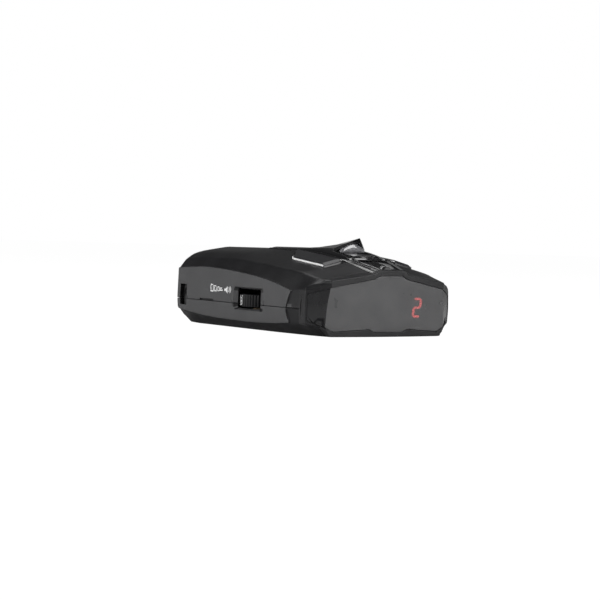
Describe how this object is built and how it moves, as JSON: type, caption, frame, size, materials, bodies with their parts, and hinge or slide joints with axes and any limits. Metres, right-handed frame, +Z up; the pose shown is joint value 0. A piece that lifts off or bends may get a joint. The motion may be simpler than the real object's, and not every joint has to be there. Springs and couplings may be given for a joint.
{
  "type": "radar detector",
  "caption": "Wedge-shaped radar and laser detector with a smoked display face, side volume wheel, top buttons, a rear-facing laser hood and a bracket slot.",
  "frame": {"origin": "centre of the bottom of the object's box, under the middle of the body", "axes": "+Z up; the display faces -Y towards the driver, the windshield end is +Y, and the volume wheel and power jack are on the -X side"},
  "size_m": [0.074, 0.108, 0.0392],
  "materials": {
    "housing_upper": "fine satin texture",
    "housing_lower": "fine satin texture",
    "bezel": "satin",
    "smoked_window": "polished smoked acrylic",
    "gloss_trim": "piano gloss",
    "laser_lens": "polished dark red",
    "eye_lens": "polished smoked grey",
    "button_plastic": "satin",
    "switch_plunger": "plain moulded",
    "switch_body": "plain moulded",
    "circuit_board": "solder mask",
    "steel_screw": "zinc",
    "display_black": "matte",
    "lit_segment": "lit red",
    "led_cap": "clear",
    "wheel_rubber": "fine ridged",
    "control_metal": "nickel",
    "control_base": "phenolic",
    "jack_plastic": "plain moulded",
    "contact_metal": "nickel plated",
    "contact_brass": "spring brass",
    "cast_metal": "die cast",
    "rf_laminate": "solder mask",
    "shield_metal": "tinned",
    "sensor_body": "infrared filter",
    "speaker_steel": "grey paint",
    "speaker_magnet": "ferrite",
    "speaker_paper": "pressed paper",
    "foam_gasket": "closed cell",
    "chip_black": "epoxy",
    "capacitor_can": "drawn can",
    "ribbon_film": "polyester film",
    "wire_jacket": "vinyl",
    "black_screw": "black zinc",
    "label_film": "blank silvered label"
  },
  "bodies": {
    "body": {"top_housing": "housing_upper", "bottom_housing": "housing_lower", "display_bezel": "bezel", "display_window": "smoked_window", "spine_trim": "gloss_trim", "laser_hood": "gloss_trim", "hood_lens": "eye_lens", "windshield_lens": "laser_lens", "left_switch": "switch_body", "right_switch": "switch_body", "button_board": "circuit_board", "button_board_screws": "steel_screw", "main_board": "circuit_board", "main_board_screws": "steel_screw", "display_board": "circuit_board", "digit_module": "display_black", "digit_segments": "lit_segment", "status_leds": "led_cap", "volume_control": "control_base", "dc_jack": "jack_plastic", "jack_pin": "contact_metal", "jack_spring": "contact_brass", "horn_antenna": "cast_metal", "horn_screws": "steel_screw", "rf_board": "rf_laminate", "rf_shield": "shield_metal", "windshield_laser_sensor": "sensor_body", "hood_laser_sensor": "sensor_body", "speaker_frame": "speaker_steel", "speaker_magnet": "speaker_magnet", "speaker_cone": "speaker_paper", "speaker_gasket": "foam_gasket", "board_chips": "chip_black", "power_capacitors": "capacitor_can", "crystal_can": "shield_metal", "display_ribbon": "ribbon_film", "button_ribbon": "ribbon_film", "speaker_wires": "wire_jacket", "housing_screws": "black_screw", "rating_plate": "label_film"},
    "left_button": {"left_button": "button_plastic", "left_plunger": "switch_plunger"},
    "right_button": {"right_button": "button_plastic", "right_plunger": "switch_plunger"},
    "volume_wheel": {"volume_wheel": "wheel_rubber", "wheel_shaft": "control_metal"}
  },
  "joints": [
    {"name": "left_button_press", "type": "slide", "parent": "body", "child": "left_button", "axis": [0, 0, -1], "range_m": [0, 0.0005], "stiffness_N_per_m": 1500, "springref_m": -0.0003},
    {"name": "right_button_press", "type": "slide", "parent": "body", "child": "right_button", "axis": [0, 0, -1], "range_m": [0, 0.0005], "stiffness_N_per_m": 1500, "springref_m": -0.0003},
    {"name": "volume_wheel_turn", "type": "hinge", "parent": "body", "child": "volume_wheel", "pos_m": [-0.0258, -0.0029, 0.012], "axis": [0, 0, 1], "range_deg": [-60, 210]}
  ]
}
